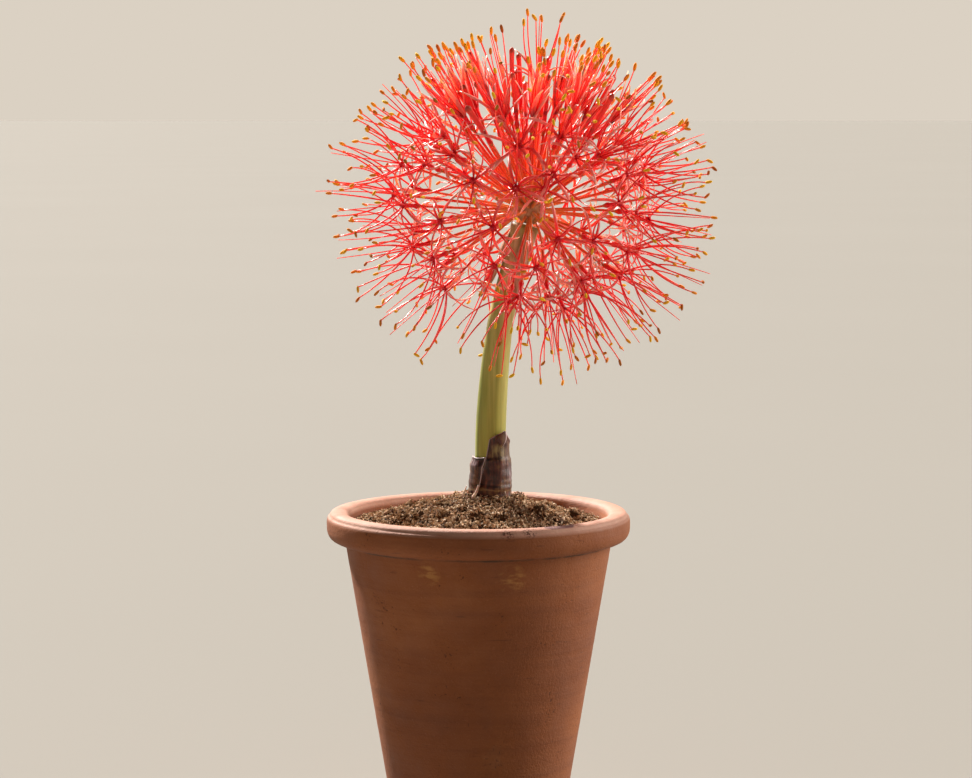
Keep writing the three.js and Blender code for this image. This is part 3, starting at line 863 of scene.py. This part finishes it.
def soil_body(piece):
    """The plug itself: a rough top, and sides as smooth as the pot that shaped them."""
    segments, top_rings, side_rings = 220, 72, 22
    angles = np.arange(segments) * 2 * math.pi / segments
    foot = soil_radius(SOIL_BOTTOM) - 3 * MM
    rows = []
    for radius in (foot * 0.25, foot * 0.6, foot):
        rows.append([
            (radius * math.cos(a), radius * math.sin(a),
             SOIL_BOTTOM + 0.3 * MM * (1 + rough((a, radius, 1), 9)))
            for a in angles
        ])
    for height in np.linspace(SOIL_BOTTOM + 3 * MM, SOIL_EDGE - 1.5 * MM, side_rings):
        row = []
        for a in angles:
            dent = 0.35 * MM * (rough((math.cos(a), math.sin(a), height * 25), 6, 4.0) - 1)
            radius = soil_radius(height) + dent
            row.append((radius * math.cos(a), radius * math.sin(a), height))
        rows.append(row)
    for k in range(top_rings, 0, -1):
        radius = soil_radius(SOIL_EDGE) * k / top_rings
        xy = [(radius * math.cos(a), radius * math.sin(a)) for a in angles]
        rows.append([(x, y, soil_height(x, y)) for x, y in xy])
    under, crown = (0, 0, SOIL_BOTTOM + 0.3 * MM), (0, 0, soil_height(0, 0))
    skinned_rings(piece, np.array(rows), under, crown, tint=0.2)


CRUMB = np.array([(1, 0, 0), (-1, 0, 0), (0, 1, 0), (0, -1, 0), (0, 0, 1), (0, 0, -1)], float)
CRUMB_FACES = [
    (0, 2, 4), (2, 1, 4), (1, 3, 4), (3, 0, 4),
    (2, 0, 5), (1, 2, 5), (3, 1, 5), (0, 3, 5),
]


def random_turn(rng):
    """A random rotation matrix."""
    matrix, _ = np.linalg.qr(rng.normal(size=(3, 3)))
    return matrix


def soil_spot(rng):
    """A random place on top of the soil, clear of the pot's wall and of the plant's foot."""
    while True:
        radius = (soil_radius(SOIL_EDGE) - 1.4 * MM) * math.sqrt(rng.random())
        angle = rng.random() * 2 * math.pi
        x, y = radius * math.cos(angle), radius * math.sin(angle)
        if math.hypot(x - PLANT[0], y - PLANT[1]) > 11.5 * MM:
            return np.array([x, y, soil_height(x, y)])


def crumbs(piece, rng):
    for _ in range(CRUMB_COUNT):
        where = soil_spot(rng)
        size = (0.38 + 1.0 * rng.random() ** 3) * MM
        shape = CRUMB * (1 + 0.35 * rng.normal(size=(6, 1))) * np.array([1.0, 0.75, 0.6]) * size
        points = shape @ random_turn(rng).T + where + UP * size * 0.25
        piece.add(points, CRUMB_FACES, tint=np.clip(rng.normal(0.69, 0.27), 0, 1))


def fibres(piece, rng):
    for _ in range(FIBRE_COUNT):
        where = soil_spot(rng)
        heading = unit(np.array([*rng.normal(size=2), 0.6 * rng.normal()]))
        bend = unit(rng.normal(size=3)) * rng.uniform(0.2, 0.9)
        length = rng.uniform(1.0, 3.0) * MM
        lift = UP * rng.uniform(0.2, 1.1) * MM
        path = bezier([
            where + lift - heading * length * 0.5,
            where + lift * 1.6 + bend * length * 0.3,
            where + lift + heading * length * 0.5,
        ], 4)
        rod(piece, path, rng.uniform(0.18, 0.38) * MM, 3, tint=np.clip(rng.normal(0.7, 0.22), 0, 1))


def matted_roots(piece, rng):
    """Thin roots that wander over the plug's sides, half sunk in them."""
    for _ in range(MATTED_ROOT_COUNT):
        angle = rng.random() * 2 * math.pi
        height = rng.uniform(0.06, 0.15)
        drift = rng.uniform(-0.05, 0.05)
        points = []
        while height > SOIL_BOTTOM + 5 * MM and len(points) < 26:
            radius = soil_radius(height) - 0.15 * MM
            points.append(np.array([radius * math.cos(angle), radius * math.sin(angle), height]))
            drift = 0.8 * drift + rng.normal(0, 0.045)
            angle += drift
            height -= rng.uniform(2.0, 5.5) * MM
        if len(points) > 3:
            path = through(points, 5 * len(points))
            rod(piece, path, np.linspace(0.42, 0.2, len(path)) * MM, 5, material=1)


def make_soil():
    rng = np.random.default_rng(11)
    plug = Piece("soil_plug", SOIL, ROOT)
    litter = Piece("soil_fibres", SOIL)
    soil_body(plug)
    crumbs(plug, rng)
    fibres(litter, rng)
    matted_roots(plug, rng)
    for piece in (plug, litter):
        made = piece.make(smooth_shading=False)
        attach(made, "root_ball")
        if piece is plug:
            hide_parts("potting_soil")


make_soil()
finish_node("bulb", BULB)
for k in range(1, 7):
    finish_node(f"root_{k}", ROOT)


# ---------------------------------------------------------------- scape, sheaths, hub, bracts

LEAN = unit(np.array([0.3, 0.0, 1.0]))
SCAPE_LINE = [
    NECK,
    np.array([6.6, 0, 215]) * MM,
    np.array([9.4, 0, 252]) * MM,
    np.array([13.6, 0, 279]) * MM,
    HUB - LEAN * HUB_RADIUS,
]


def on_flower(piece, node):
    """Bakes the piece's placing into its mesh and hides the CAD node that it stands for."""
    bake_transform(piece)
    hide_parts(node)


def make_scape():
    piece = Piece("flower_stalk", STALK)
    path = through(SCAPE_LINE, 60)
    t = np.linspace(0, 1, 60)
    radii = SCAPE_FOOT_RADIUS + (SCAPE_TOP_RADIUS - SCAPE_FOOT_RADIUS) * smooth(0.2, 0.8, t)
    radii = radii * (1 + 0.16 * smooth(0.9, 1.0, t))
    degrees = np.radians([80, 62, 45, 30, 15])
    foot = NECK - UP * (SCAPE_FOOT_RADIUS * np.sin(degrees))[:, None]
    path = np.vstack([foot, path])
    radii = np.concatenate([SCAPE_FOOT_RADIUS * np.cos(degrees), radii])
    along = np.concatenate([np.zeros(len(degrees)), t])
    rod(piece, path, radii, 40, along=along, lobes=9, lobe_depth=0.012)
    on_flower(piece.make(), "scape")


class Sheath:
    """A papery sheath wrapped part of the way round the stalk. `near_edge` gives its free edge's
    angle in degrees at some heights, `far_angle` its other edge, `top` its height at some angles,
    and `swell` its radius at some heights, all in millimetres. `tuck` is how far its free edge is
    drawn in."""

    def __init__(self, near_edge, far_angle, top, swell, seed, tuck=0.0):
        self.near_heights, self.near_angles = zip(*near_edge)
        self.far_angle = far_angle
        self.top_angles, self.top_heights = zip(*sorted(top))
        self.swell_heights, self.swell_radii = zip(*swell)
        self.seed = seed
        self.tuck = tuck * MM

    def top(self, degrees):
        height = np.interp(degrees, self.top_angles, self.top_heights) * MM
        return height + 0.5 * MM * rough((math.radians(degrees), 0, 0), 4, self.seed)

    def place(self, degrees, height, lift=0.0):
        """A point on the skin's inside at an angle and height, and the way out from there."""
        angle = math.radians(degrees)
        out = np.array([math.cos(angle), math.sin(angle), 0])
        low_down = smooth(192 * MM, 181 * MM, height)
        creases = 0.4 * MM * (0.7 + rough((angle, height * 12, 0), 3.2, self.seed))
        wrinkles = rough((angle * 0.4, 0, height * 500), 1.0, self.seed + 4)
        wrinkles *= (0.12 + 0.4 * low_down) * MM
        radius = np.interp(height / MM, self.swell_heights, self.swell_radii) * MM
        middle = np.array([NECK[0] + 0.03 * (height - SHEATH_FOOT), 0, 0])
        return middle + out * (radius - SKIN + creases + wrinkles + lift) + UP * height, out

    def skin_at(self, v, u):
        """The skin a share v up it and a share u round it from its free edge. It is pale along
        that edge and, near it, along the top."""
        rough_height = SHEATH_FOOT + (self.top(self.near_angles[-1]) - SHEATH_FOOT) * v
        start = np.interp(rough_height / MM, self.near_heights, self.near_angles)
        degrees = start + (self.far_angle - start) * u
        height = SHEATH_FOOT + (self.top(degrees) - SHEATH_FOOT) * v
        curl = 0.5 * MM * smooth(0.06, 0.0, min(u, 1 - u)) + 0.35 * MM * smooth(0.93, 1.0, v)
        inside, out = self.place(degrees, height, curl - self.tuck * smooth(0.3, 0.02, u))
        top_margin = smooth(0.972, 1.0, v) * (1 - 0.8 * smooth(0.4, 0.8, u))
        return inside, inside + out * SKIN, max(smooth(0.03, 0.0, u), top_margin)


def folded_tip(piece, sheath):
    """The sheath's pointed tip, bent outwards over the top edge and hanging down its front."""
    tip_angle, tip_height = -62, 203.6 * MM
    left_at_top, right_at_top = -82, -44

    def skin_at(v, u):
        down = 0.97 * v
        left = left_at_top + (tip_angle - left_at_top) * down**1.4
        right = right_at_top + (tip_angle - right_at_top) * down**2.2
        degrees = left + (right - left) * u
        top = sheath.top(degrees)
        height = top + (tip_height - top) * down
        puffed = (0.35 + 1.3 * math.sin(math.pi * (0.12 + 0.8 * down))) * MM
        inside, out = sheath.place(degrees, height, SKIN + puffed)
        return inside, inside + out * SKIN * 0.8, smooth(0.25, 0.0, 1 - u)

    thin_sheet(piece, 22, 24, skin_at)


def scraps(piece):
    """Torn pale bits of old skin round the foot of the left sheath."""
    torn = [
        (1.9, [(-3.9, -10.2, 176), (-2.6, -11.6, 179), (-1.2, -11.3, 181.6), (-0.2, -10.4, 184.4)]),
        (2.6, [(-8.6, -4.5, 176.5), (-8.4, -5.0, 179.5), (-7.2, -5.8, 181.8), (-6.4, -5.4, 183.6)]),
        (1.8, [(-6.4, -8.2, 176.5), (-6.0, -8.8, 179.6), (-5.2, -8.3, 182.6)]),
        (1.7, [(14.0, -8.6, 176.5), (14.6, -8.9, 178.8), (14.0, -8.2, 180.9)]),
    ]
    for k, (width, points) in enumerate(torn):
        path = through(np.array(points) * MM, 18)
        out = unit(path[9] - NECK - UP * (path[9] - NECK)[2])
        sideways = np.cross(UP, out) + 0.3 * UP
        widths = width * MM * (0.55 + 0.45 * np.sin(np.linspace(0.2, 3.0, 18) + k))
        blade(piece, path, widths, unit(sideways), -0.35, 0.35 * MM, material=1)


def make_sheaths():
    tall = Sheath(
        near_edge=((174, -142), (182, -136), (188, -124), (196, -112), (202, -108), (208, -101)),
        far_angle=76,
        top=(
            (-121, 207.6), (-101, 208.3), (-72, 210.4), (-50, 212.7), (-30, 209.4), (0, 206.5),
            (76, 202.5),
        ),
        swell=((174, 11.4), (178, 11.0), (188, 10.5), (197, 9.9), (198.6, 9.2), (202, 8.9)),
        seed=1.5,
        tuck=1.2,
    )
    piece = Piece("sheath_front", SHEATH)
    thin_sheet(piece, 64, 60, tall.skin_at)
    folded_tip(piece, tall)
    on_flower(piece.make(), "sheath_tall")
    short = Sheath(
        near_edge=((174, -146), (180, -136), (184, -119), (193, -115), (199, -108)),
        far_angle=-296,
        top=((-104, 199.0), (-140, 198.2), (-175, 198.8), (-215, 194.5), (-296, 191.0)),
        swell=((174, 10.9), (181, 11.2), (186, 11.3), (190, 10.8), (194, 11.2), (199, 9.4)),
        seed=6.5,
    )
    piece = Piece("sheath_left", SHEATH, PALE_SKIN)
    thin_sheet(piece, 64, 60, short.skin_at)
    scraps(piece)
    on_flower(piece.make(), "sheath_short")


def make_hub():
    piece = Piece("flower_hub", KNOB)
    rows, sides = 22, 36
    rings = []
    for i in range(rows):
        tilt = math.pi * (0.02 + 0.96 * i / (rows - 1))
        for j in range(sides):
            turn = 2 * math.pi * j / sides
            sideways = math.sin(tilt)
            way = np.array([sideways * math.cos(turn), sideways * math.sin(turn), -math.cos(tilt)])
            radius = HUB_RADIUS * (0.9 + 0.08 * rough(way, 4.5, 3.0))
            rings.append(HUB + way * radius)
    piece.add(rings, loft_faces(rows, sides), along=1.0)
    hub = piece.make()
    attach(hub, "flower")
    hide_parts("umbel_hub")


def make_bract(index, degrees, length, width):
    """A thin withered bract that hangs from under the hub, hollowed and curling at its tip."""
    out = np.array([math.cos(math.radians(degrees)), math.sin(math.radians(degrees)), 0])
    side = np.cross(UP, out)
    start = HUB - LEAN * (HUB_RADIUS + 1.5 * MM)
    stations = [(0.5, 0.0), (3.0, 0.3), (3.4, 0.7), (6.5, 1.02)]
    path = through([
        start + out * (SCAPE_TOP_RADIUS + off * MM) - LEAN * length * down for off, down in stations
    ], 34)
    tint = np.random.default_rng(40 + index).random()

    def skin_at(v, u):
        half = 0.5 * width * (0.3 + 0.7 * math.sin(math.pi * (0.14 + 0.84 * v)))
        from_middle = 2 * u - 1
        curl = -0.45 * half * from_middle**2 * (0.6 + v)
        ripple = 0.5 * MM * rough((from_middle, v * 4, degrees), 1.3, index)
        station = path[round(v * (len(path) - 1))]
        middle = station + side * from_middle * half + out * (curl + ripple)
        return middle - out * BRACT_SKIN / 2, middle + out * BRACT_SKIN / 2, tint

    piece = Piece(f"withered_bract_{index}", BRACT)
    thin_sheet(piece, len(path), 15, skin_at)
    made = piece.make()
    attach(made, "flower")
    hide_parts(f"spathe_bract_{index}")


BRACTS = ((-62, 40, 9), (64, 34, 8), (178, 37, 8))      # degrees, length and width in millimetres

make_scape()
make_sheaths()
make_hub()
for index, (degrees, length, width) in enumerate(BRACTS, start=1):
    make_bract(index, degrees, length * MM, width * MM)


# ---------------------------------------------------------------- florets

OPEN_MATERIALS = (PEDICEL, TUBE, TEPAL, FILAMENT, ANTHER, BUD)
STALK_PART, TUBE_PART, TEPAL_PART, FILAMENT_PART, ANTHER_PART, BUD_PART = range(6)
CROWN_ANGLE = 44            # degrees from straight up within which some florets are still in bud
LOWEST_ANGLE = 152
STALK_CLEARANCE = 40        # degrees from the stalk's line that stay empty
FLORET_PLACES = 116
GLOBE_CENTRE = np.array([-5.5, 0.0, 2.0]) * MM     # from the hub
GLOBE_SQUASH = 0.09         # how much less it reaches up and down than sideways
TOPMOST = 100.5 * MM          # how far from the hub the longest stamens end
DOWN_SCAPE = -LEAN


def angle_between(a, b):
    return math.degrees(math.acos(max(-1.0, min(1.0, float(np.dot(a, b))))))


def axis_of(node):
    """The direction from the hub in which a CAD floret points."""
    points = np.array([v.co[:] for v in frame["nodes"][node].data.vertices])
    return unit(points.mean(axis=0) - HUB)


def crowding(degrees):
    """How densely the florets stand at an angle from straight up: over three times as densely at
    the crown as at the sides."""
    return 1 + 2.4 * (1 - smooth(34, 62, degrees))


def spiral_places(count):
    """Directions in a golden-angle spiral from the crown down, spaced by the crowding."""
    degrees = np.linspace(0, LOWEST_ANGLE, 600)
    shares = np.cumsum(crowding(degrees) * np.sin(np.radians(degrees)))
    tilt = np.radians(np.interp((np.arange(count) + 0.5) / count, shares / shares[-1], degrees))
    turn = np.arange(count) * math.pi * (3 - math.sqrt(5))
    sideways = np.sin(tilt)
    return np.stack([sideways * np.cos(turn), sideways * np.sin(turn), np.cos(tilt)], axis=1)


def gaps_between(fixed, count):
    """The spiral's places that are left once the nearest one to each fixed floret and those too
    near the stalk are taken out, then nudged away from their neighbours."""
    places = spiral_places(count)
    for axis in fixed:
        places = np.delete(places, np.argmax(places @ axis), axis=0)
    places = places[places @ DOWN_SCAPE < math.cos(math.radians(STALK_CLEARANCE))]
    spacing = 0.38 / np.sqrt(crowding(np.degrees(np.arccos(places[:, 2]))))[:, None]
    for _ in range(30):
        apart = places[:, None, :] - np.vstack([fixed, places])[None, :, :]
        distance = np.linalg.norm(apart, axis=2)
        too_near = (distance > 1e-9) & (distance < spacing)
        push = np.where(too_near, (spacing - distance) / (distance + 1e-9), 0)
        places = places + 0.15 * (apart * push[:, :, None]).sum(axis=1)
        places /= np.linalg.norm(places, axis=1)[:, None]
    return places


def arc(base, axis, out, length, start, end, steps, swing=0.0):
    """A path that leaves `base` at `start` degrees from the axis, towards `out`, bends evenly to
    `end` degrees, and swings a little to one side."""
    side = np.cross(axis, out)
    angles = np.radians(np.linspace(start, end, steps - 1))[:, None]
    swings = np.radians(np.linspace(0, swing, steps - 1))[:, None]
    outward = out * np.cos(swings) + side * np.sin(swings)
    directions = axis * np.cos(angles) + outward * np.sin(angles)
    return np.vstack([base, base + np.cumsum(directions, axis=0) * length / (steps - 1)])


def pedicel(piece, axis, ovary_at, rng, flare):
    """The floret's stalk, ovary, and tube, whose mouth is 1 + `flare` times as wide as its middle.
    Returns the throat and the way it faces."""
    clearance = angle_between(axis, DOWN_SCAPE)
    launch = axis
    if clearance < 62:
        away = unit(np.cross(DOWN_SCAPE, axis))
        launch = turned_about(axis, away, math.radians(0.75 * (62 - clearance)))
    facing = unit(axis + 0.07 * rng.normal(size=3))
    ovary = HUB + axis * ovary_at
    start = HUB + launch * HUB_RADIUS * 0.7
    path = bezier([
        start,
        start + launch * 16 * MM,
        ovary - facing * 15 * MM,
        ovary,
    ], 13)
    radius = rng.uniform(0.62, 0.82) * MM
    along = np.linspace(0, 1, 13)
    swelling = 1 + 0.25 * smooth(0.15, 0.0, along)
    rod(piece, path, radius * swelling, 7, STALK_PART, rng.random(), along)
    tube = rng.uniform(9.5, 11.5) * MM
    stations = np.array([-0.12, 0.0, 0.1, 0.22, 0.32, 0.5, 0.75, 0.93, 1.02, 1.06])
    widths = np.array([0.8, 1.25, 1.55, 1.3, 1.0, 1.05, 1.1, 1.1, 1.1, 0.8]) * MM
    widths[-4:] *= 1 + flare * np.array([0.35, 1.0, 1.0, 0.2])
    bore = ovary + facing * (stations * tube)[:, None]
    rod(piece, bore, widths, 9, TUBE_PART, rng.random() * 0.5, lobes=3, lobe_depth=0.06)
    return ovary + facing * tube, facing


def anther(piece, tip, heading, length, rng):
    """A little pollen-covered capsule across or along the filament's tip."""
    width = 0.42 * length
    stations = np.linspace(-0.5, 0.5, 6)
    shape = np.array([0.35, 0.9, 1.0, 1.0, 0.9, 0.35])
    path = tip + heading * (stations * length)[:, None]
    rod(piece, path, shape * width * 0.5, 6, ANTHER_PART, rng.random() ** 1.4)


def stamens(piece, throat, facing, rng, start, end, length, anther_length, versatile):
    """Six filaments with their anthers, and one plain style in the middle."""
    zero = across(facing)
    turn = rng.random() * 2 * math.pi
    for k in range(6):
        out = turned_about(zero, facing, turn + math.radians(60 * k + rng.normal(0, 7)))
        reach = length * rng.uniform(0.92, 1.08)
        path = arc(
            throat + out * 1.1 * MM - facing * 0.8 * MM, facing, out, reach,
            start + rng.normal(0, 6), end + rng.normal(0, 8), 11, rng.normal(0, 14),
        )
        radii = np.linspace(0.5, 0.32, 11) * MM
        rod(piece, path, radii, 6, FILAMENT_PART, rng.random())
        heading = unit(path[-1] - path[-2])
        heading = unit(heading + versatile * rng.normal(size=3))
        anther(piece, path[-1] + heading * 0.3 * anther_length, heading, anther_length, rng)
    style = arc(throat, facing, turned_about(zero, facing, turn), length * 1.02,
                start * 0.25 * rng.random(), end * 0.5, 10, rng.normal(0, 20))
    rod(piece, style, np.linspace(0.36, 0.2, 10) * MM, 5, FILAMENT_PART, 0.2 * rng.random())


def tepals(piece, throat, facing, rng, start, end, length, width):
    """Six narrow petals, each ending in a fine point."""
    zero = across(facing)
    turn = rng.random() * 2 * math.pi
    for k in range(6):
        out = turned_about(zero, facing, turn + math.radians(60 * k + rng.normal(0, 6)))
        reach = length * rng.uniform(0.85, 1.1)
        path = arc(
            throat + out * 1.2 * MM - facing * 0.9 * MM, facing, out, reach,
            start + rng.normal(0, 6), end + rng.normal(0, 28), 12, rng.normal(0, 45),
        )
        t = np.linspace(0, 1, 12)
        widths = width * (0.6 + 0.4 * smooth(0, 0.25, t)) * (1 - 0.75 * smooth(0.6, 1.0, t))
        sideways = np.cross(facing, out)
        blade(piece, path, widths, sideways, 0.16, 0.28 * MM, TEPAL_PART, rng.random())


def bud_body(piece, throat, facing, rng, length):
    """Six petals still closed into a ribbed cylinder with a blunt dark head."""
    t = np.array([0, 0.08, 0.2, 0.35, 0.5, 0.65, 0.78, 0.84, 0.88, 0.92, 0.96, 0.985, 1.0])
    stations = [0, 0.25, 0.8, 0.86, 0.93, 0.975, 1]
    radii = np.interp(t, stations, [1.0, 1.25, 1.3, 1.5, 1.45, 0.95, 0.2])
    steps = 30
    out = turned_about(across(facing), facing, rng.random() * 2 * math.pi)
    line = arc(throat - facing * 1.5 * MM, facing, out, length, 0, rng.normal(0, 9), steps)
    even = np.linspace(0, 1, steps)
    path = np.stack([np.interp(t, even, line[:, k]) for k in range(3)], axis=1)
    size = rng.uniform(0.88, 1.12) * MM
    rod(piece, path, radii * size, 18, BUD_PART, rng.random(), along=t, lobes=6, lobe_depth=0.12)


def floret(name, axis, rng, bud=False, opening=None, tips_at=None):
    """A floret on its stalk. Near the crown it is in bud or just open, with upright stamens; the
    lower it stands, the wider its stamens spread and the further its petals curl back."""
    piece = Piece(name, *OPEN_MATERIALS)
    if opening is None:
        opening = np.clip(smooth(32, 78, angle_between(axis, UP)) + rng.normal(0, 0.1), 0, 1)
    stamen_length = (rng.uniform(28, 35) + 7 * opening) * MM
    if tips_at is None:
        squashed = 1 - GLOBE_SQUASH * axis[2] ** 2
        tips_at = rng.uniform(93.5, 102.5) * MM * squashed + np.dot(axis, GLOBE_CENTRE)
    ovary_at = tips_at - 11 * MM - stamen_length * (1 - 0.15 * opening)
    throat, facing = pedicel(piece, axis, ovary_at, rng, 0.0 if bud else 0.25 + 0.4 * opening)
    if bud:
        bud_body(piece, throat, facing, rng, rng.uniform(19, 25) * MM)
    else:
        tepals(piece, throat, facing, rng, 5 + 80 * opening, 22 + 165 * opening,
               (27 - 6 * opening) * MM, (2.3 - 0.7 * opening) * MM)
        stamens(piece, throat, facing, rng, 7 + 52 * opening, 3 + 14 * opening,
                stamen_length, (4.7 - 1.1 * opening) * MM, 0.1 + 0.8 * opening)
    made = piece.make()
    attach(made, "flower")
    return made


def make_flower():
    rng = np.random.default_rng(23)
    nodes = sorted(n for n in frame["nodes"] if n.startswith(("floret_", "bud_")))
    axes = {node: axis_of(node) for node in nodes}
    for node in nodes:
        made = floret(f"detailed_{node}", axes[node], rng, node.startswith("bud_"))
        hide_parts(node)
    fixed = np.array(list(axes.values()))
    for index, axis in enumerate(gaps_between(fixed, FLORET_PLACES), start=1):
        in_crown = angle_between(axis, UP) < CROWN_ANGLE
        floret(f"between_floret_{index}", axis, rng, in_crown and rng.random() < 0.4)
    floret("topmost_floret", unit(np.array([0.07, -0.1, 1.0])), rng, opening=0.33, tips_at=TOPMOST)
    floret("before_the_stalk_floret", unit(np.array([-0.2, -0.62, -0.79])), rng)
    floret("before_the_hub_floret", unit(np.array([0.13, -0.96, 0.21])), rng)


make_flower()
